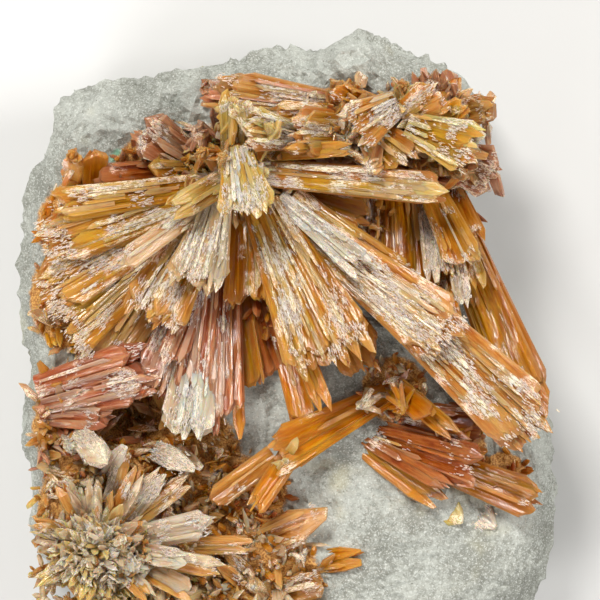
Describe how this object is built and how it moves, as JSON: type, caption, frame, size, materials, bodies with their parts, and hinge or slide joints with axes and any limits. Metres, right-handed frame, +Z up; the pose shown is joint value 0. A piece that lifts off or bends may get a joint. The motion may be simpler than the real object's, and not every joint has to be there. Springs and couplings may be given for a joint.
{
  "type": "mineral specimen",
  "caption": "Creedite specimen: sprays of orange, amber and frosted bladed crystals radiating over a piece of pale grey rock.",
  "frame": {"origin": "centre of the specimen's bounding box, on the surface that the rock's flat back rests on", "axes": "+Z up, out of the rock towards the crystals; +Y to the specimen's top edge, with the lump of rock; +X to its right side as seen from above"},
  "size_m": [0.0546, 0.0624, 0.026],
  "materials": {
    "rock": "rough granular pale grey rock",
    "honey_crystal": "translucent honey and orange, frosted in places",
    "golden_crystal": "translucent pale yellow and golden",
    "brown_crystal": "translucent reddish brown, frosted in places",
    "amber_crystal": "glassy translucent amber",
    "red_crystal": "translucent orange red, pinkish white frost at the ends",
    "orange_crystal": "glassy translucent orange",
    "garnet_crystal": "glossy translucent dark red",
    "pale_crystal": "translucent, frosted beige white"
  },
  "bodies": {
    "root": {"matrix": "rock", "centre_spray": "honey_crystal", "corner_spray": "golden_crystal", "upper_bars": "brown_crystal", "upper_left_crystals": "brown_crystal", "right_blades": "amber_crystal", "left_edge_crystals": "orange_crystal", "red_spray": "red_crystal", "left_red_blades": "red_crystal", "orange_blades": "orange_crystal", "pointed_crystal": "orange_crystal", "small_orange_crystal": "orange_crystal", "bottom_crystals": "brown_crystal", "dark_red_prisms": "garnet_crystal", "pale_spray": "pale_crystal", "frosted_crystal_left": "pale_crystal", "frosted_crystal_middle": "pale_crystal", "pale_crystal_near": "pale_crystal", "pale_crystal_far": "pale_crystal"}
  },
  "joints": []
}
